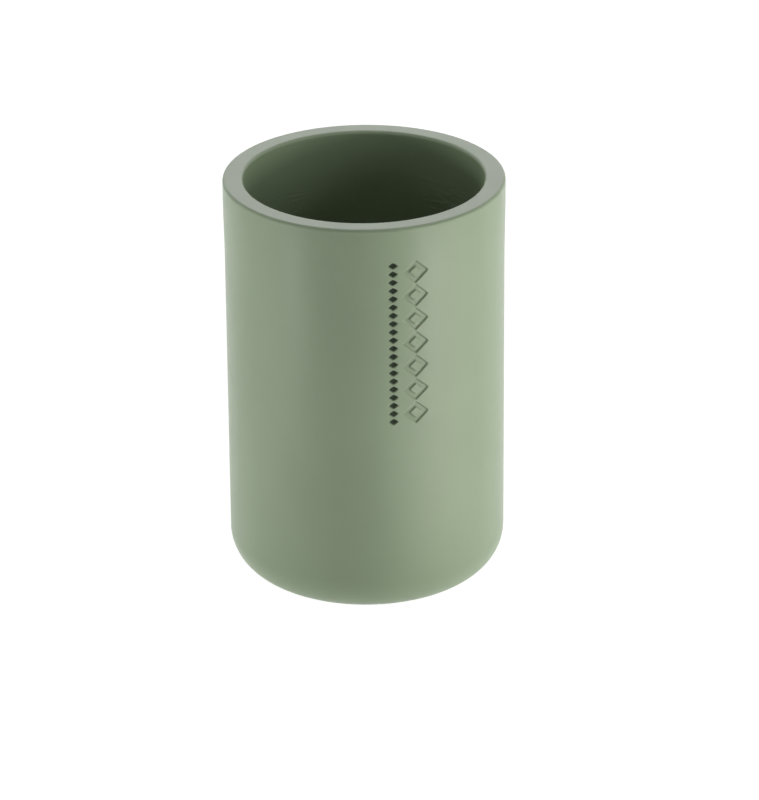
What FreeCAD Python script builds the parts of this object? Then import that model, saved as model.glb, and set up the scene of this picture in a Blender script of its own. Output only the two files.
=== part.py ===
import FreeCAD, Part
import math
import os

# Bathroom tumbler: a thick-walled cup cast in resin, with a die-cut foam pad glued into its underside.
# Millimetres, +Z up. The origin is the centre of the pad's underside, and the relief band faces -Y.

# Outside of the cup
total_height = 110.5         # from the pad's underside to the rim
rim_diameter = 73.2          # across the rim, the widest place
rim_swell = 0.2              # the rim stands out this far past the straight wall
swell_start_drop = 20.0      # the wall starts to lean out this far below the rim
swell_end_drop = 6.0         # and is upright again from here on
swell_bend_radius = 400.0    # the long soft bends at both ends of the lean
heel_radius = 10.8           # the large round between wall and underside
rim_outer_round = 0.8

# Inside of the cup
rim_wall = 5.35              # the flat rim, from outside to inside
rim_inner_round = 0.7
mould_taper = 1.2            # the inside is this much narrower at its floor, in radius
floor_thickness = 7.0        # from the base ring to the inside floor
inner_heel_radius = 8.0

# Foam pad and its glue film, in a shallow recess
pad_diameter = 44.0
pad_thickness = 1.5
pad_stand_out = 0.5          # the pad stands this far below the base ring
pad_edge_round = 0.25
pad_side_gap = 0.3
glue_film_thickness = 0.2
recess_edge_round = 0.4

# Relief band: a column of lozenge outlines, and a finer column of small solid lozenges beside it
band_drop = 9.3              # from the rim down to the top of both columns
lozenge_count = 7
lozenge_pitch = 6.53
lozenge_width = 6.9
lozenge_height = 6.2
lozenge_stroke = 1.1         # width of the groove that draws each outline
lozenge_corner_round = 0.35
lozenge_depth = 0.45
lozenge_column_x = 2.1
bead_count = 20
bead_pitch = 2.285
bead_width = 2.7
bead_height = 1.8
bead_corner_round = 0.15
bead_depth = 0.6
bead_column_x = -3.9

cut_overrun = 1.0            # how far a cutting body runs past the surface that it cuts
round_limit_share = 0.8      # a round may take this share of the shorter side beside it

# Places that follow from the sizes above
rim_radius = rim_diameter / 2
wall_radius = rim_radius - rim_swell
mouth_radius = rim_radius - rim_wall
floor_radius = mouth_radius - mould_taper
base_ring_z = pad_stand_out
floor_z = base_ring_z + floor_thickness
pad_radius = pad_diameter / 2
recess_radius = pad_radius + pad_side_gap
recess_top_z = pad_thickness + glue_film_thickness

UP = FreeCAD.Vector(0, 0, 1)
FRONT = FreeCAD.Vector(0, -1, 0)
ORIGIN = FreeCAD.Vector(0, 0, 0)
FULL_TURN = 360


def point(x, z):
    """A point of the XZ plane, in which every outline here is drawn."""
    return FreeCAD.Vector(x, 0, z)


def rounded_corner(before, corner, after, radius):
    """Where a round of that radius starts, its middle and its end, at a corner between two others."""
    to_before = before - corner
    to_after = after - corner
    half_angle = to_before.getAngle(to_after) / 2
    longest_cut = min(to_before.Length, to_after.Length) * round_limit_share
    cut = min(radius / math.tan(half_angle), longest_cut)
    fitted_radius = cut * math.tan(half_angle)
    to_before.normalize()
    to_after.normalize()
    inward = to_before + to_after
    inward.normalize()
    middle_reach = fitted_radius / math.sin(half_angle) - fitted_radius
    return corner + to_before * cut, corner + inward * middle_reach, corner + to_after * cut


def outline_face(corners):
    """A flat face whose outline goes round the corners, each given as (x, z, radius)."""
    places = [point(x, z) for x, z, radius in corners]
    rounds = []
    for index, (x, z, radius) in enumerate(corners):
        place = places[index]
        if radius:
            after = places[(index + 1) % len(places)]
            rounds.append(rounded_corner(places[index - 1], place, after, radius))
        else:
            rounds.append((place, None, place))
    edges = []
    for index, (start, middle, end) in enumerate(rounds):
        if middle:
            edges.append(Part.Arc(start, middle, end).toShape())
        next_start = rounds[(index + 1) % len(rounds)][0]
        edges.append(Part.LineSegment(end, next_start).toShape())
    return Part.Face(Part.Wire(edges))


def turned(corners):
    """The solid of revolution about Z of an outline that lies on its +X side."""
    return outline_face(corners).revolve(ORIGIN, UP, FULL_TURN)


def lozenge_face(centre_x, centre_z, width, height, corner_round):
    """A lozenge standing on one point."""
    return outline_face([
        (centre_x, centre_z + height / 2, corner_round),
        (centre_x + width / 2, centre_z, corner_round),
        (centre_x, centre_z - height / 2, corner_round),
        (centre_x - width / 2, centre_z, corner_round),
    ])


def inner_lozenge_scale(width, height, stroke):
    """How much smaller a lozenge is that lies one stroke inside a larger one."""
    half_thickness = (width / 2) * (height / 2) / math.hypot(width / 2, height / 2)
    return 1 - stroke / half_thickness


def column_heights(count, pitch, motif_height):
    """The centre heights of a column's motifs, from its top down."""
    first = total_height - band_drop - motif_height / 2
    return [first - pitch * index for index in range(count)]


def relief_cutter(faces, depth):
    """The flat faces pushed out through the front wall, with their floors that deep below it."""
    outer_radius = wall_radius + cut_overrun
    prisms = Part.makeCompound([face.extrude(FRONT * outer_radius) for face in faces])
    outer = Part.makeCylinder(outer_radius, total_height)
    inner = Part.makeCylinder(wall_radius - depth, total_height)
    return prisms.common(outer.cut(inner))


def lozenge_cutter():
    """The column of lozenge outlines: each is a large lozenge less a smaller one."""
    inner_scale = inner_lozenge_scale(lozenge_width, lozenge_height, lozenge_stroke)
    inner_width = lozenge_width * inner_scale
    inner_height = lozenge_height * inner_scale
    faces = []
    for centre_z in column_heights(lozenge_count, lozenge_pitch, lozenge_height):
        large = lozenge_face(
            lozenge_column_x, centre_z, lozenge_width, lozenge_height, lozenge_corner_round
        )
        small = lozenge_face(
            lozenge_column_x, centre_z, inner_width, inner_height, lozenge_corner_round * inner_scale
        )
        faces.append(large.cut(small).Faces[0])
    return relief_cutter(faces, lozenge_depth)


def bead_cutter():
    """The finer column of small solid lozenges."""
    faces = [
        lozenge_face(bead_column_x, centre_z, bead_width, bead_height, bead_corner_round)
        for centre_z in column_heights(bead_count, bead_pitch, bead_height)
    ]
    return relief_cutter(faces, bead_depth)


def cup_body():
    """The cast cup, with the pad's recess in its underside and the relief band in its front."""
    cup = turned([
        (0, recess_top_z, 0),
        (recess_radius, recess_top_z, 0),
        (recess_radius, base_ring_z, recess_edge_round),
        (wall_radius, base_ring_z, heel_radius),
        (wall_radius, total_height - swell_start_drop, swell_bend_radius),
        (rim_radius, total_height - swell_end_drop, swell_bend_radius),
        (rim_radius, total_height, rim_outer_round),
        (mouth_radius, total_height, rim_inner_round),
        (floor_radius, floor_z, inner_heel_radius),
        (0, floor_z, 0),
    ])
    return cup.cut(lozenge_cutter()).cut(bead_cutter())


def foam_pad():
    """The die-cut foam disc that the tumbler stands on."""
    return turned([
        (0, 0, 0),
        (pad_radius, 0, pad_edge_round),
        (pad_radius, pad_thickness, 0),
        (0, pad_thickness, 0),
    ])


def glue_film():
    """The film of glue between the foam disc and the recess, cut out with the disc."""
    return Part.makeCylinder(pad_radius, glue_film_thickness, point(0, pad_thickness), UP)


pieces = {
    "cup_body": cup_body(),
    "nonslip_foam_pad": foam_pad(),
    "pad_glue_film": glue_film(),
}

os.makedirs("parts", exist_ok=True)
for name, shape in pieces.items():
    shape.exportStep(f"parts/{name}.step")
    print(f"{name}: {len(shape.Solids)} solid, {len(shape.Faces)} faces, {shape.Volume:.1f} mm3, valid {shape.isValid()}")
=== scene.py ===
import bpy
import math
from mathutils import Euler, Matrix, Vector


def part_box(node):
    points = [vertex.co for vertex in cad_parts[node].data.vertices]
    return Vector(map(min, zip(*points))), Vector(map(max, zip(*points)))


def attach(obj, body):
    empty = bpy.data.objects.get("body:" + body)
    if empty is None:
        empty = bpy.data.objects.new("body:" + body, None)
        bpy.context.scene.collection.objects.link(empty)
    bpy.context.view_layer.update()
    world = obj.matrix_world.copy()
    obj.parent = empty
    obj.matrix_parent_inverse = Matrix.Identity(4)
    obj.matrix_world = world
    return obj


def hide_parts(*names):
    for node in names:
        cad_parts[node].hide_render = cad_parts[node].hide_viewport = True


# Bathroom tumbler: a thick cast cup in satin sage green, with a relief band on its front
# and a foam pad below it. Metres, +Z up. The band faces -Y.

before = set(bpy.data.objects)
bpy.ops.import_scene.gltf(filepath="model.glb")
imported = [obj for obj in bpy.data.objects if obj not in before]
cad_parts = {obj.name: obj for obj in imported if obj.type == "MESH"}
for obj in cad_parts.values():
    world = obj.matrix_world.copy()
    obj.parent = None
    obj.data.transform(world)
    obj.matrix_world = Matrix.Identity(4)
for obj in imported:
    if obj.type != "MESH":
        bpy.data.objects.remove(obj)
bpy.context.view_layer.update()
print("frame loaded, nodes:", sorted(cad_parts))


# Small helpers for node trees

def wire(tree, value, socket):
    if isinstance(value, bpy.types.NodeSocket):
        tree.links.new(value, socket)
    else:
        socket.default_value = value


def addNode(tree, kind, inputs=None, **settings):
    node = tree.nodes.new(kind)
    for name, value in settings.items():
        setattr(node, name, value)
    for name, value in (inputs or {}).items():
        wire(tree, value, node.inputs[name])
    return node


def calc(tree, operation, *terms):
    node = addNode(tree, "ShaderNodeMath", operation=operation)
    for term, socket in zip(terms, node.inputs):
        wire(tree, term, socket)
    return node.outputs[0]


def ramp(tree, value, fromLow, fromHigh, toLow, toHigh, kind="LINEAR"):
    node = addNode(tree, "ShaderNodeMapRange", interpolation_type=kind)
    for term, socket in zip((value, fromLow, fromHigh, toLow, toHigh), node.inputs):
        wire(tree, term, socket)
    return node.outputs[0]


def newTree(name, sizes, wholeNumbers):
    # a Geometry Nodes tree whose inputs are the geometry, the named sizes and a material
    tree = bpy.data.node_groups.new(name, "GeometryNodeTree")
    tree.interface.new_socket("Geometry", in_out="INPUT", socket_type="NodeSocketGeometry")
    tree.interface.new_socket("Geometry", in_out="OUTPUT", socket_type="NodeSocketGeometry")
    for sizeName in sizes:
        kind = "NodeSocketInt" if sizeName in wholeNumbers else "NodeSocketFloat"
        tree.interface.new_socket(sizeName, in_out="INPUT", socket_type=kind)
    tree.interface.new_socket("Material", in_out="INPUT", socket_type="NodeSocketMaterial")
    given = addNode(tree, "NodeGroupInput").outputs
    return tree, given


def endTree(tree, geometry, material):
    smooth = addNode(tree, "GeometryNodeSetShadeSmooth", {"Geometry": geometry})
    real = addNode(tree, "GeometryNodeRealizeInstances", {"Geometry": smooth.outputs[0]})
    painted = addNode(tree, "GeometryNodeSetMaterial", {"Geometry": real.outputs[0], "Material": material})
    out = addNode(tree, "NodeGroupOutput")
    tree.links.new(painted.outputs[0], out.inputs[0])


def useTree(piece, tree, values):
    # puts the tree on the piece, sets its inputs, and turns the result into a plain mesh
    modifier = piece.modifiers.new(tree.name, "NODES")
    modifier.node_group = tree
    for item in tree.interface.items_tree:
        if item.in_out == "INPUT" and item.name in values:
            modifier[item.identifier] = values[item.name]
    bpy.context.view_layer.update()
    depsgraph = bpy.context.evaluated_depsgraph_get()
    evaluated = piece.evaluated_get(depsgraph)
    mesh = bpy.data.meshes.new_from_object(evaluated, preserve_all_data_layers=True, depsgraph=depsgraph)
    piece.modifiers.clear()
    piece.data = mesh


# Camera, at the photograph's viewing angle

cameraView = {
    "azimuth": -17.3,        # degrees round the object, 0 faces the band
    "elevation": 24.5,
    "distance": 1.2,
    "aimHeight": 0.0555,     # the point of the axis that it was aimed at before the small turns
    "turnRight": 0.173,
    "tiltDown": 0.384,
    "roll": 0.54,
    "lens": 205.15,          # millimetres, on a sensor 36 mm wide
    "nearest": 0.01,         # what lies nearer or farther isn't drawn
    "farthest": 20,
}


def towards(azimuth, elevation):
    # the direction from the object to someone at that azimuth and elevation, in degrees
    turn, lift = math.radians(azimuth), math.radians(elevation)
    return Vector((math.sin(turn) * math.cos(lift), -math.cos(turn) * math.cos(lift), math.sin(lift)))


def makeCamera(view):
    camera = bpy.data.objects.new("photoCamera", bpy.data.cameras.new("photoCamera"))
    bpy.context.scene.collection.objects.link(camera)
    back = towards(view["azimuth"], view["elevation"])
    camera.location = Vector((0, 0, view["aimHeight"])) + back * view["distance"]
    turns = [math.radians(-view[name]) for name in ("tiltDown", "turnRight", "roll")]
    aim = (-back).to_track_quat("-Z", "Y").to_matrix()
    turned = aim @ Euler((0, turns[1], 0)).to_matrix() @ Euler((turns[0], 0, turns[2])).to_matrix()
    camera.rotation_mode = "QUATERNION"
    camera.rotation_quaternion = turned.to_quaternion()
    camera.data.lens = view["lens"]
    camera.data.clip_start = view["nearest"]
    camera.data.clip_end = view["farthest"]
    bpy.context.scene.camera = camera


makeCamera(cameraView)
print("camera made")


# Turned shapes: rows of a profile, spun about the axis by a node tree

turning = {
    "arcStep": 0.0008,       # along a round
    "arcLeast": 6,           # steps on the smallest round
    "straightLeast": 3,
    "easing": 0.75,          # how much closer the rows lie at the ends of a straight
    "roundLimit": 0.8,       # a round may take this share of the shorter side beside it
    "closeGap": 0.000001,    # points nearer than this are joined
}


def profileRows(corners):
    # corners are (radius, height, rounding, step): step divides the straight that follows
    places = [Vector((radius, height)) for radius, height, rounding, step in corners]
    rounds = []
    for index, (radius, height, rounding, step) in enumerate(corners):
        place = places[index]
        if not rounding:
            rounds.append([place])
            continue
        before = places[index - 1] - place
        after = places[index + 1] - place
        half = before.angle(after) / 2
        longest = turning["roundLimit"] * min(before.length, after.length)
        cut = min(rounding / math.tan(half), longest)
        reach = cut * math.tan(half)
        centre = place + (before.normalized() + after.normalized()).normalized() * (reach / math.sin(half))
        start = place + before.normalized() * cut - centre
        sweep = math.pi - 2 * half
        turnSign = 1 if before.cross(after) < 0 else -1
        count = max(turning["arcLeast"], math.ceil(sweep * reach / turning["arcStep"]))
        arc = []
        for stepIndex in range(count + 1):
            angle = turnSign * sweep * stepIndex / count
            cosine, sine = math.cos(angle), math.sin(angle)
            turned = Vector((start.x * cosine - start.y * sine, start.x * sine + start.y * cosine))
            arc.append(centre + turned)
        rounds.append(arc)
    rows = []
    for index, arc in enumerate(rounds):
        rows.extend(arc)
        if index + 1 == len(rounds):
            break
        start, end = arc[-1], rounds[index + 1][0]
        step = corners[index][3]
        count = max(turning["straightLeast"], math.ceil((end - start).length / step))
        easing = 0 if step < turning["arcStep"] else turning["easing"]   # the band's rows stay even
        for stepIndex in range(1, count):
            share = stepIndex / count
            share -= easing * math.sin(2 * math.pi * share) / (2 * math.pi)
            rows.append(start.lerp(end, share))
    return rows


def makeTurnedTree():
    # the grid's columns are spread round the axis: close together in the band, and wider by degrees behind it
    names = ["Columns", "Band Columns", "Band Start", "Band Turn"]
    tree, given = newTree("turnedShape", names, ["Columns", "Band Columns"])
    points = addNode(tree, "GeometryNodeAttributeDomainSize", {"Geometry": given["Geometry"]}).outputs[0]
    lastRow = calc(tree, "SUBTRACT", points, 1)
    grid = addNode(tree, "GeometryNodeMeshGrid", {
        "Vertices X": calc(tree, "ADD", given["Columns"], 1),
        "Vertices Y": points,
        "Size X": given["Columns"],
        "Size Y": lastRow,
    })
    place = addNode(tree, "ShaderNodeSeparateXYZ", {0: addNode(tree, "GeometryNodeInputPosition").outputs[0]})
    column = calc(tree, "ADD", place.outputs["X"], calc(tree, "DIVIDE", given["Columns"], 2))
    row = calc(tree, "ROUND", calc(tree, "ADD", place.outputs["Y"], calc(tree, "DIVIDE", lastRow, 2)))
    inBand = ramp(tree, column, 0, given["Band Columns"], 0, given["Band Turn"])
    restColumns = calc(tree, "SUBTRACT", given["Columns"], given["Band Columns"])
    restTurn = calc(tree, "SUBTRACT", 2 * math.pi, given["Band Turn"])
    bandStep = calc(tree, "DIVIDE", given["Band Turn"], given["Band Columns"])
    evenShare = calc(tree, "MULTIPLY", bandStep, calc(tree, "DIVIDE", restColumns, restTurn))
    evenPart = ramp(tree, column, given["Band Columns"], given["Columns"], 0, evenShare)
    easedPart = ramp(tree, column, given["Band Columns"], given["Columns"],
                     0, calc(tree, "SUBTRACT", 1, evenShare), "SMOOTHSTEP")
    behind = calc(tree, "MULTIPLY", restTurn, calc(tree, "ADD", evenPart, easedPart))
    angle = calc(tree, "ADD", given["Band Start"], calc(tree, "ADD", inBand, behind))
    sample = addNode(tree, "GeometryNodeSampleIndex", {
        "Geometry": given["Geometry"],
        "Index": row,
    }, data_type="FLOAT_VECTOR")
    wire(tree, addNode(tree, "GeometryNodeInputPosition").outputs[0], sample.inputs["Value"])
    profile = addNode(tree, "ShaderNodeSeparateXYZ", {0: sample.outputs[0]})
    radius = profile.outputs["X"]
    spun = addNode(tree, "ShaderNodeCombineXYZ", {
        "X": calc(tree, "MULTIPLY", radius, calc(tree, "SINE", angle)),
        "Y": calc(tree, "MULTIPLY", radius, calc(tree, "MULTIPLY", -1, calc(tree, "COSINE", angle))),
        "Z": profile.outputs["Z"],
    })
    moved = addNode(tree, "GeometryNodeSetPosition", {
        "Geometry": grid.outputs["Mesh"],
        "Position": spun.outputs[0],
    })
    closed = addNode(tree, "GeometryNodeMergeByDistance", {
        "Geometry": moved.outputs[0],
        "Distance": turning["closeGap"],
    })
    endTree(tree, closed.outputs[0], given["Material"])
    return tree


turnedTree = makeTurnedTree()


def makeTurned(name, rows, values):
    mesh = bpy.data.meshes.new(name)
    mesh.from_pydata([(row.x, 0, row.y) for row in rows], [], [])
    piece = bpy.data.objects.new(name, mesh)
    bpy.context.scene.collection.objects.link(piece)
    useTree(piece, turnedTree, values)
    print(name, "turned,", len(rows), "rows,", len(piece.data.polygons), "faces")
    return piece


# Finishes

noiseSpan = (0.3, 0.7)       # the values between which a noise mostly lies

satinPaint = {
    "green": (0.238, 0.306, 0.192, 1),
    "tintSpread": 0.025,     # how far the tint wanders, as a share of the colour
    "tintScale": 35,         # noise scales are per metre
    "tintDetail": 3,
    "roughness": (0.30, 0.35),
    "roughnessScale": 260,
    "roughnessDetail": 3,
    "beadShadeGreen": (0.030, 0.043, 0.026, 1),   # painted shade: a darker, duller green in the small lozenges, standing in for the shade in their recesses
    "beadRoughness": 0.6,
    "beadGloss": 0.25,
    "gloss": 0.5,
    "peelScale": 420,        # the soft waviness of sprayed paint
    "peelDetail": 1,
    "peelHeight": 0.000004,
    "grainScale": 5200,      # the fine matt grain
    "grainHeight": 0.0000015,
}

flowMarks = {
    # faint wisps left by the casting, on the upper inside wall only
    "scale": 70,
    "stretch": 9,            # this much closer together down the wall than round it
    "wander": 0.8,
    "lineWidth": 0.035,
    "patchScale": 28,
    "patchSpan": (0.48, 0.62),
    "height": 0.00007,
    "withinRadius": 0.0311,  # keeps them off the rim and the outside
    "heightSpan": (0.030, 0.050),   # they fade in between these heights
}


def newMaterial(name):
    material = bpy.data.materials.new(name)
    material.use_nodes = True
    tree = material.node_tree
    shader = tree.nodes["Principled BSDF"]
    where = addNode(tree, "ShaderNodeTexCoord").outputs["Object"]
    return material, tree, shader, where


def noise(tree, where, scale, detail=2.0, coarseness=0.5, wander=0.0):
    node = addNode(tree, "ShaderNodeTexNoise", {
        "Vector": where,
        "Scale": scale,
        "Detail": detail,
        "Roughness": coarseness,
        "Distortion": wander,
    })
    return node.outputs["Fac"]


def blend(tree, share, first, second):
    # from the first colour to the second
    mix = addNode(tree, "ShaderNodeMix", data_type="RGBA")
    colours = [socket for socket in mix.inputs if socket.type == "RGBA"]
    for value, socket in zip((share, first, second), (mix.inputs["Factor"], *colours)):
        wire(tree, value, socket)
    return [socket for socket in mix.outputs if socket.type == "RGBA"][0]


def makeFlowMarks(tree, where, marks):
    # thin lines where a stretched noise crosses its middle, in patches
    place = addNode(tree, "ShaderNodeSeparateXYZ", {0: where}).outputs
    tall = addNode(tree, "ShaderNodeCombineXYZ", {
        "X": place["X"],
        "Y": place["Y"],
        "Z": calc(tree, "MULTIPLY", place["Z"], marks["stretch"]),
    }).outputs[0]
    field = noise(tree, tall, marks["scale"], wander=marks["wander"])
    fromMiddle = calc(tree, "ABSOLUTE", calc(tree, "SUBTRACT", field, sum(noiseSpan) / 2))
    line = ramp(tree, fromMiddle, 0, marks["lineWidth"], 1, 0, "SMOOTHSTEP")
    cloud = noise(tree, where, marks["patchScale"])
    patch = ramp(tree, cloud, *marks["patchSpan"], 0, 1, "SMOOTHSTEP")
    flat = addNode(tree, "ShaderNodeCombineXYZ", {"X": place["X"], "Y": place["Y"]}).outputs[0]
    radius = addNode(tree, "ShaderNodeVectorMath", {0: flat}, operation="LENGTH").outputs["Value"]
    high = ramp(tree, place["Z"], *marks["heightSpan"], 0, 1, "SMOOTHSTEP")
    inside = calc(tree, "MULTIPLY", calc(tree, "LESS_THAN", radius, marks["withinRadius"]), high)
    return calc(tree, "MULTIPLY", inside, calc(tree, "MULTIPLY", line, patch))


def makeSatinPaint(finish):
    material, tree, shader, where = newMaterial("satinPaint")
    spread = finish["tintSpread"]
    cloud = noise(tree, where, finish["tintScale"], finish["tintDetail"])
    tint = ramp(tree, cloud, *noiseSpan, 1 - spread, 1 + spread)
    green = addNode(tree, "ShaderNodeVectorMath", {0: finish["green"][:3], "Scale": tint}, operation="SCALE")
    # the small lozenges are painted darker and duller: painted shade in their recesses
    beadShade = addNode(tree, "ShaderNodeAttribute", attribute_name="beadShadeMask").outputs["Fac"]
    colour = blend(tree, beadShade, green.outputs[0], finish["beadShadeGreen"])
    sheen = noise(tree, where, finish["roughnessScale"], finish["roughnessDetail"])
    satin = ramp(tree, sheen, *noiseSpan, *finish["roughness"])
    roughness = ramp(tree, beadShade, 0, 1, satin, finish["beadRoughness"])
    peel = addNode(tree, "ShaderNodeBump", {
        "Height": noise(tree, where, finish["peelScale"], finish["peelDetail"]),
        "Distance": finish["peelHeight"],
    })
    grain = addNode(tree, "ShaderNodeBump", {
        "Height": noise(tree, where, finish["grainScale"]),
        "Distance": finish["grainHeight"],
        "Normal": peel.outputs[0],
    })
    wisps = addNode(tree, "ShaderNodeBump", {
        "Height": makeFlowMarks(tree, where, flowMarks),
        "Distance": flowMarks["height"],
        "Normal": grain.outputs[0],
    })
    for name, value in {
        "Base Color": colour,
        "Roughness": roughness,
        "Specular IOR Level": ramp(tree, beadShade, 0, 1, finish["gloss"], finish["beadGloss"]),
        "Normal": wisps.outputs[0],
    }.items():
        wire(tree, value, shader.inputs[name])
    return material


foamSheet = {
    "dark": (0.020, 0.022, 0.021, 1),
    "light": (0.060, 0.064, 0.060, 1),
    "poreScale": 2600,
    "poreDepth": 0.00006,
    "poreSpan": (0.1, 0.6),  # from a pore's middle to the skin between the pores
    # painted shade: each pore is darker towards its middle
    "poreShade": 0.2,
    "patchScale": 90,
    "patchDetail": 4,
    "roughness": 0.9,
}


def makeFoamSheet(finish):
    material, tree, shader, where = newMaterial("foamSheet")
    pores = addNode(tree, "ShaderNodeTexVoronoi", {"Vector": where, "Scale": finish["poreScale"]},
                    feature="SMOOTH_F1")
    patch = noise(tree, where, finish["patchScale"], finish["patchDetail"])
    # painted shade in the pores, times a random tone in patches
    poreShading = ramp(tree, pores.outputs["Distance"], *finish["poreSpan"], finish["poreShade"], 1)
    shade = calc(tree, "MULTIPLY", poreShading, patch)
    wire(tree, blend(tree, shade, finish["dark"], finish["light"]), shader.inputs["Base Color"])
    bump = addNode(tree, "ShaderNodeBump", {
        "Height": pores.outputs["Distance"],
        "Distance": finish["poreDepth"],
    })
    tree.links.new(bump.outputs[0], shader.inputs["Normal"])
    shader.inputs["Roughness"].default_value = finish["roughness"]
    return material


glueFilm = {
    "milk": (0.62, 0.60, 0.50, 1),
    "clear": (0.48, 0.47, 0.38, 1),
    "streakScale": 300,
    "streakDetail": 5,
    "streakCoarseness": 0.7,
    "roughness": 0.3,
}


def makeGlueFilm(finish):
    material, tree, shader, where = newMaterial("glueFilm")
    streaks = noise(tree, where, finish["streakScale"], finish["streakDetail"], finish["streakCoarseness"])
    wire(tree, blend(tree, streaks, finish["milk"], finish["clear"]), shader.inputs["Base Color"])
    shader.inputs["Roughness"].default_value = finish["roughness"]
    return material


# Cup

cupLow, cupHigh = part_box("cup_body")

cup = {
    "rimRadius": 0.0366,
    "rimSwell": 0.0002,      # the rim stands out this far past the straight wall
    "swellStart": 0.022,     # the wall leans out to it between these two places below the rim
    "swellEnd": 0.004,
    "heelRound": 0.0108,
    "rimOuterRound": 0.0008,
    "rimWall": 0.00535,
    "rimInnerRound": 0.0008,
    "mouldTaper": 0.0012,
    "floorThickness": 0.007,
    "innerHeelRound": 0.008,
    "recessRadius": 0.0223,
    "recessDepth": 0.0012,
    "recessRound": 0.0004,
    "cornerRound": 0.0002,   # paint fills the sharp corner of the recess
    "baseHeight": cupLow.z,
    "rimHeight": cupHigh.z,
    "wideStep": 0.0026,
    "rimStep": 0.001,
    "columns": 190,
}
cup["wallRadius"] = cup["rimRadius"] - cup["rimSwell"]
cup["mouthRadius"] = cup["rimRadius"] - cup["rimWall"]

band = {
    "drop": 0.0093,          # from the rim to the top of both columns
    "margin": 0.0003,        # close rows and columns reach this far past the relief
    "step": 0.000135,
    "edge": 0.00011,         # half the width of the softened edge of a groove
    "corner": 0.00016,
    "lozengeCount": 7,
    "lozengePitch": 0.00653,
    "lozengeWidth": 0.0069,
    "lozengeHeight": 0.0062,
    "lozengeStroke": 0.0011,
    "lozengeDepth": 0.00045,
    "lozengeX": 0.0021,
    "beadCount": 20,
    "beadPitch": 0.002285,
    "beadWidth": 0.0027,
    "beadHeight": 0.0018,
    "beadDepth": 0.0006,
    "beadX": -0.0039,
}
band["top"] = cup["rimHeight"] - band["drop"]
band["length"] = band["lozengePitch"] * (band["lozengeCount"] - 1) + band["lozengeHeight"]
band["left"] = band["beadX"] - band["beadWidth"] / 2 - band["margin"]
band["right"] = band["lozengeX"] + band["lozengeWidth"] / 2 + band["margin"]


def cupCorners():
    base, rim = cup["baseHeight"], cup["rimHeight"]
    wall, step = cup["wallRadius"], cup["wideStep"]
    recessTop = base + cup["recessDepth"]
    floorHeight = base + cup["floorThickness"]
    bandHigh = band["top"] + band["margin"]
    bandLow = band["top"] - band["length"] - band["margin"]
    return [
        (0, recessTop, 0, step),
        (cup["recessRadius"], recessTop, cup["cornerRound"], step),
        (cup["recessRadius"], base, cup["recessRound"], cup["rimStep"]),
        (wall, base, cup["heelRound"], step),
        (wall, bandLow, 0, band["step"]),
        (wall, bandHigh, 0, cup["rimStep"]),
        (wall, rim, cup["rimOuterRound"], cup["rimStep"]),
        (cup["mouthRadius"], rim, cup["rimInnerRound"], step),
        (cup["mouthRadius"] - cup["mouldTaper"], floorHeight, cup["innerHeelRound"], step),
        (0, floorHeight, 0, step),
    ]


def swollen(rows):
    # leans the outside out towards the rim, softly at both ends of the lean
    middle = (cup["wallRadius"] + cup["mouthRadius"]) / 2
    startHeight = cup["rimHeight"] - cup["swellStart"]
    endHeight = cup["rimHeight"] - cup["swellEnd"]
    result = []
    for row in rows:
        share = min(max((row.y - startHeight) / (endHeight - startHeight), 0), 1)
        eased = share * share * (3 - 2 * share)
        outwards = cup["rimSwell"] * eased if row.x > middle else 0
        result.append(Vector((row.x + outwards, row.y)))
    return result


def lozengeDistance(tree, place, given, kind):
    # how far a point is outside the nearest lozenge of a column, negative inside it
    half = {side: calc(tree, "DIVIDE", given[f"{kind} {side}"], 2) for side in ("Width", "Height")}
    firstZ = calc(tree, "SUBTRACT", given["Band Top"], half["Height"])
    below = calc(tree, "SUBTRACT", firstZ, place["Z"])
    nearest = calc(tree, "ROUND", calc(tree, "DIVIDE", below, given[f"{kind} Pitch"]))
    last = calc(tree, "SUBTRACT", given[f"{kind} Count"], 1)
    nearest = calc(tree, "MINIMUM", calc(tree, "MAXIMUM", nearest, 0), last)
    offset = {
        "Width": calc(tree, "SUBTRACT", place["X"], given[f"{kind} X"]),
        "Height": calc(tree, "SUBTRACT", below, calc(tree, "MULTIPLY", nearest, given[f"{kind} Pitch"])),
    }
    shares = []
    for side in ("Width", "Height"):
        squared = calc(tree, "MULTIPLY", offset[side], offset[side])
        blunted = calc(tree, "SQRT", calc(tree, "ADD", squared, calc(tree, "POWER", given["Corner"], 2)))
        shares.append(calc(tree, "DIVIDE", blunted, half[side]))
    slant = calc(tree, "SQRT", calc(tree, "ADD", calc(tree, "POWER", half["Width"], 2),
                                    calc(tree, "POWER", half["Height"], 2)))
    halfThickness = calc(tree, "DIVIDE", calc(tree, "MULTIPLY", half["Width"], half["Height"]), slant)
    outside = calc(tree, "SUBTRACT", calc(tree, "ADD", shares[0], shares[1]), 1)
    return calc(tree, "MULTIPLY", outside, halfThickness)


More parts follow.
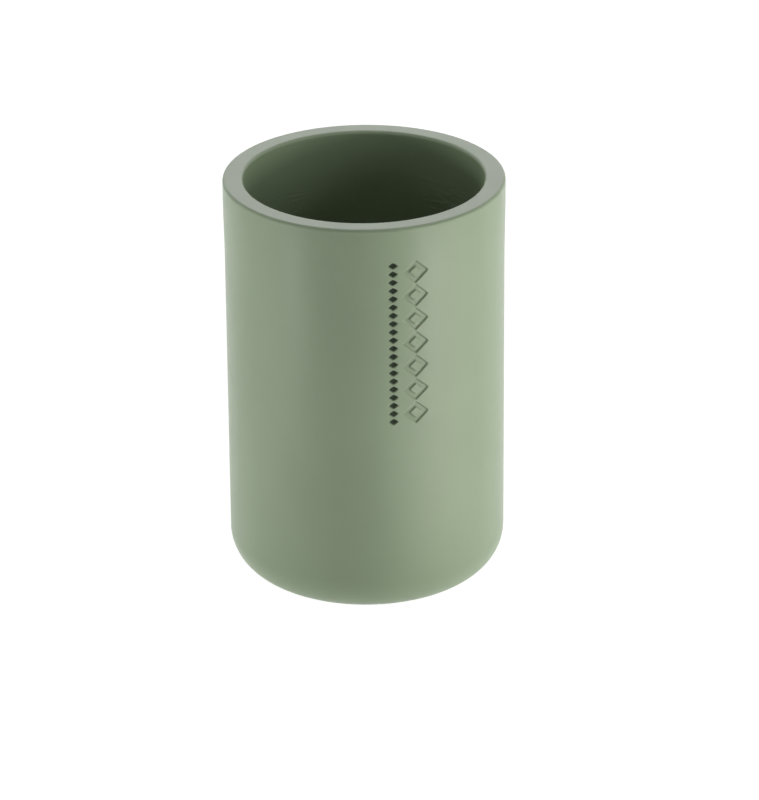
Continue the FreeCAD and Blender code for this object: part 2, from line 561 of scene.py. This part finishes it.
def makeReliefTree(sizes):
    tree, given = newTree("reliefBand", sizes, ["Lozenge Count", "Bead Count"])
    position = addNode(tree, "GeometryNodeInputPosition").outputs[0]
    place = addNode(tree, "ShaderNodeSeparateXYZ", {0: position}).outputs
    flat = addNode(tree, "ShaderNodeCombineXYZ", {"X": place["X"], "Y": place["Y"]}).outputs[0]
    radius = addNode(tree, "ShaderNodeVectorMath", {0: flat}, operation="LENGTH").outputs["Value"]
    middle = calc(tree, "DIVIDE", calc(tree, "ADD", given["Wall Radius"], given["Mouth Radius"]), 2)
    outside = calc(tree, "GREATER_THAN", radius, middle)
    front = calc(tree, "MULTIPLY", outside, calc(tree, "LESS_THAN", place["Y"], 0))
    outerEdge = given["Edge"]
    innerEdge = calc(tree, "MULTIPLY", given["Edge"], -1)

    # grooves round the lozenges, and whole small lozenges beside them
    lozenge = lozengeDistance(tree, place, given, "Lozenge")
    halfStroke = calc(tree, "DIVIDE", given["Lozenge Stroke"], 2)
    fromMiddle = calc(tree, "ABSOLUTE", calc(tree, "ADD", lozenge, halfStroke))
    fromGroove = calc(tree, "SUBTRACT", fromMiddle, halfStroke)
    groove = ramp(tree, fromGroove, outerEdge, innerEdge, 0, 1, "SMOOTHSTEP")
    fromBead = lozengeDistance(tree, place, given, "Bead")
    bead = ramp(tree, fromBead, outerEdge, innerEdge, 0, 1, "SMOOTHSTEP")
    depth = calc(tree, "MAXIMUM", calc(tree, "MULTIPLY", groove, given["Lozenge Depth"]),
                 calc(tree, "MULTIPLY", bead, given["Bead Depth"]))
    inward = calc(tree, "MULTIPLY", depth, front)

    # the front wall lies nowhere near the axis, so the smallest radius below only keeps the sum finite
    outwards = calc(tree, "MAXIMUM", radius, given["Edge"])
    shrink = calc(tree, "SUBTRACT", 1, calc(tree, "DIVIDE", inward, outwards))
    carved = addNode(tree, "ShaderNodeCombineXYZ", {
        "X": calc(tree, "MULTIPLY", place["X"], shrink),
        "Y": calc(tree, "MULTIPLY", place["Y"], shrink),
        "Z": place["Z"],
    })
    # marks the small lozenges, whose colour the paint darkens there as painted shade
    beadShade = addNode(tree, "GeometryNodeStoreNamedAttribute", {
        "Geometry": given["Geometry"],
        "Name": "beadShadeMask",
        "Value": calc(tree, "MULTIPLY", bead, front),
    }, data_type="FLOAT", domain="POINT")
    moved = addNode(tree, "GeometryNodeSetPosition", {
        "Geometry": beadShade.outputs[0],
        "Position": carved.outputs[0],
    })
    endTree(tree, moved.outputs[0], given["Material"])
    return tree


def makeCup():
    paint = makeSatinPaint(satinPaint)
    wall = cup["wallRadius"]
    start, end = math.asin(band["left"] / wall), math.asin(band["right"] / wall)
    piece = makeTurned("tumblerCup", swollen(profileRows(cupCorners())), {
        "Columns": cup["columns"],
        "Band Columns": math.ceil((end - start) * wall / band["step"]),
        "Band Start": start,
        "Band Turn": end - start,
        "Material": paint,
    })
    relief = {
        "Wall Radius": wall,
        "Mouth Radius": cup["mouthRadius"],
        "Band Top": band["top"],
        "Edge": band["edge"],
        "Corner": band["corner"],
        "Lozenge Count": band["lozengeCount"],
        "Lozenge Pitch": band["lozengePitch"],
        "Lozenge Width": band["lozengeWidth"],
        "Lozenge Height": band["lozengeHeight"],
        "Lozenge Stroke": band["lozengeStroke"],
        "Lozenge Depth": band["lozengeDepth"],
        "Lozenge X": band["lozengeX"],
        "Bead Count": band["beadCount"],
        "Bead Pitch": band["beadPitch"],
        "Bead Width": band["beadWidth"],
        "Bead Height": band["beadHeight"],
        "Bead Depth": band["beadDepth"],
        "Bead X": band["beadX"],
    }
    useTree(piece, makeReliefTree(relief), {**relief, "Material": paint})
    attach(piece, "root")
    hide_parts("cup_body")
    return piece


tumblerCup = makeCup()
print("cup made,", len(tumblerCup.data.polygons), "faces")


# Foam pad and glue film

padLow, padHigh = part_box("nonslip_foam_pad")

foamPad = {
    "radius": 0.022,
    "bottomRound": 0.00025,
    "topRound": 0.0001,
    "waist": 0.00012,        # the cut edge draws in by this much
    "low": padLow.z,
    "high": padHigh.z,
    "wideStep": 0.0011,
    "edgeStep": 0.0005,
    "columns": 180,
}


def makePad():
    radius, low, high = foamPad["radius"], foamPad["low"], foamPad["high"]
    piece = makeTurned("foamPad", profileRows([
        (0, low, 0, foamPad["wideStep"]),
        (radius, low, foamPad["bottomRound"], foamPad["edgeStep"]),
        (radius - foamPad["waist"], (low + high) / 2, 0, foamPad["edgeStep"]),
        (radius, high, foamPad["topRound"], foamPad["wideStep"]),
        (0, high, 0, foamPad["wideStep"]),
    ]), {
        "Columns": foamPad["columns"],
        "Band Columns": 1,
        "Band Start": 0.0,
        "Band Turn": 2 * math.pi / foamPad["columns"],
        "Material": makeFoamSheet(foamSheet),
    })
    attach(piece, "root")
    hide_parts("nonslip_foam_pad")


def dressFilm():
    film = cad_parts["pad_glue_film"]
    film.data.materials.clear()
    film.data.materials.append(makeGlueFilm(glueFilm))


makePad()
dressFilm()
print("foam pad and glue film made")


# Floor, world and lamps

studio = {
    "floorRadius": 2.5,
    "floorCorners": 64,
    "floorDrop": 0.00002,
    "floorWhite": (0.9, 0.9, 0.9, 1),
    "worldLight": 0.11,      # how strongly the white surroundings light matt surfaces
    "tableLight": 0.46,      # how strongly the white table does, as if it were lit from below
    "tableRadius": 0.35,
    "tableShown": 0.52,      # white that gloss shows of the table besides its own shade
    "shadowShade": (0.20, 0.20, 0.20, 1),   # how much of its real shade the floor shows the camera
    "shadowWhite": 0.045,    # and how much less white it is there for that
    "softboxDistance": 1.0,
    "spotHeight": 0.8,
    "spotSoftness": 0.02,
    "spotTint": (1, 0.91, 0.97),   # the pools hold a touch less green than the other lamps
}

softboxes = {
    # every lamp's azimuth is measured from the camera's own
    # the four at the sides are hidden from glossy rays, so that no edge shows a hard glint of them
    "rightSoftbox": {"azimuth": 82, "elevation": 5.5, "size": (0.42, 0.18), "power": 4.45, "glossy": False},
    "rightFill": {"azimuth": 62, "elevation": 18, "size": (0.50, 0.30), "power": 1.90, "glossy": False},
    "leftSoftbox": {"azimuth": -96, "elevation": 5, "size": (0.38, 0.18), "power": 3.6, "glossy": False},
    "leftFill": {"azimuth": -62, "elevation": 14, "size": (0.50, 0.28), "power": 0.87, "glossy": False},
    "backSoftbox": {"azimuth": 180, "elevation": 25, "size": (0.80, 0.30), "power": 0.98, "glossy": True},
    "highSoftbox": {"azimuth": 180, "elevation": 50, "size": (0.60, 0.40), "power": 1.4, "glossy": True},
    "topSoftbox": {"azimuth": 0, "elevation": 85, "size": (0.60, 0.60), "power": 0.9, "glossy": True},
}

tableSpots = {
    # pools of light on the table, which the wall's satin paint shows as soft upright bands
    "rightSideSpot": {"azimuth": 75, "reach": 0.26, "radius": 0.10, "power": 18},
    "rightFarSpot": {"azimuth": 66, "reach": 0.26, "radius": 0.10, "power": 24},
    "rightMiddleSpot": {"azimuth": 58, "reach": 0.22, "radius": 0.10, "power": 8},
    "rightTopSpot": {"azimuth": 49, "reach": 0.27, "radius": 0.06, "power": 130},
    "rightNearSpot": {"azimuth": 48, "reach": 0.15, "radius": 0.10, "power": 34},
    "leftTopSpot": {"azimuth": -55, "reach": 0.27, "radius": 0.06, "power": 70},
    "leftFarSpot": {"azimuth": -65, "reach": 0.25, "radius": 0.14, "power": 18},
    "leftNearSpot": {"azimuth": -62, "reach": 0.15, "radius": 0.10, "power": 8},
}


def seenDirectly(tree):
    # 1 for rays from the camera, and for what gloss and glass show
    path = addNode(tree, "ShaderNodeLightPath").outputs
    shown = calc(tree, "MAXIMUM", path["Is Camera Ray"], path["Is Glossy Ray"])
    return calc(tree, "MAXIMUM", shown, path["Is Transmission Ray"])


def makeWorld():
    world = bpy.data.worlds.new("whiteStudio")
    bpy.context.scene.world = world
    world.use_nodes = True
    tree = world.node_tree
    light = tree.nodes["Background"]
    light.inputs["Color"].default_value = (1, 1, 1, 1)
    tree.links.new(ramp(tree, seenDirectly(tree), 0, 1, studio["worldLight"], 1), light.inputs["Strength"])


def makeFloor():
    mesh = bpy.data.meshes.new("paleFloor")
    corners = studio["floorCorners"]
    ring = [towards(360 * index / corners, 0) * studio["floorRadius"] for index in range(corners)]
    places = [(point.x, point.y, -studio["floorDrop"]) for point in ring]
    mesh.from_pydata(places, [], [list(range(corners))])
    floor = bpy.data.objects.new("paleFloor", mesh)
    bpy.context.scene.collection.objects.link(floor)
    material = bpy.data.materials.new("paleFloor")
    material.use_nodes = True
    tree = material.node_tree
    tree.nodes.clear()
    where = addNode(tree, "ShaderNodeTexCoord").outputs["Object"]
    away = addNode(tree, "ShaderNodeVectorMath", {0: where}, operation="LENGTH").outputs["Value"]
    isTable = calc(tree, "LESS_THAN", away, studio["tableRadius"])
    onTable = calc(tree, "MULTIPLY", isTable, studio["tableLight"])
    glow = ramp(tree, seenDirectly(tree), 0, 1, onTable, studio["tableShown"])
    glowing = addNode(tree, "ShaderNodeEmission", {"Strength": glow})
    matt = addNode(tree, "ShaderNodeBsdfDiffuse", {"Color": studio["floorWhite"]})
    lit = addNode(tree, "ShaderNodeAddShader", {0: matt.outputs[0], 1: glowing.outputs[0]})
    # the camera sees white that only just keeps the object's shadow
    path = addNode(tree, "ShaderNodeLightPath").outputs
    white = addNode(tree, "ShaderNodeEmission", {"Strength": 1 - studio["shadowWhite"]})
    faint = addNode(tree, "ShaderNodeBsdfDiffuse", {"Color": studio["shadowShade"]})
    backdrop = addNode(tree, "ShaderNodeAddShader", {0: faint.outputs[0], 1: white.outputs[0]})
    clear = addNode(tree, "ShaderNodeBsdfTransparent")
    behind = addNode(tree, "ShaderNodeNewGeometry").outputs["Backfacing"]
    shown = addNode(tree, "ShaderNodeMixShader", {
        "Fac": behind,
        1: backdrop.outputs[0],
        2: clear.outputs[0],
    })
    mix = addNode(tree, "ShaderNodeMixShader", {
        "Fac": path["Is Camera Ray"],
        1: lit.outputs[0],
        2: shown.outputs[0],
    })
    addNode(tree, "ShaderNodeOutputMaterial", {"Surface": mix.outputs[0]})
    mesh.materials.append(material)


def placeLamp(name, light, place, aim):
    body = bpy.data.objects.new(name, light)
    bpy.context.scene.collection.objects.link(body)
    body.location = place
    body.rotation_mode = "QUATERNION"
    body.rotation_quaternion = (aim - place).to_track_quat("-Z", "Y")
    body.visible_camera = False
    return body


def makeSoftbox(name, lamp):
    light = bpy.data.lights.new(name, "AREA")
    light.shape = "RECTANGLE"
    light.size, light.size_y = lamp["size"]
    light.energy = lamp["power"]
    aim = Vector((0, 0, cameraView["aimHeight"]))
    direction = towards(cameraView["azimuth"] + lamp["azimuth"], lamp["elevation"])
    body = placeLamp(name, light, aim + direction * studio["softboxDistance"], aim)
    body.visible_glossy = lamp["glossy"]


def makeTableSpot(name, lamp):
    light = bpy.data.lights.new(name, "SPOT")
    light.energy = lamp["power"]
    light.color = studio["spotTint"]
    light.shadow_soft_size = studio["spotSoftness"]
    light.spot_size = 2 * math.atan(lamp["radius"] / studio["spotHeight"])
    light.spot_blend = 1
    aim = towards(cameraView["azimuth"] + lamp["azimuth"], 0) * lamp["reach"]
    placeLamp(name, light, aim + Vector((0, 0, studio["spotHeight"])), aim)


makeWorld()
makeFloor()
for lampName, lamp in softboxes.items():
    makeSoftbox(lampName, lamp)
for lampName, lamp in tableSpots.items():
    makeTableSpot(lampName, lamp)
bpy.context.scene.view_settings.view_transform = "Standard"
print("floor, world and lamps made")
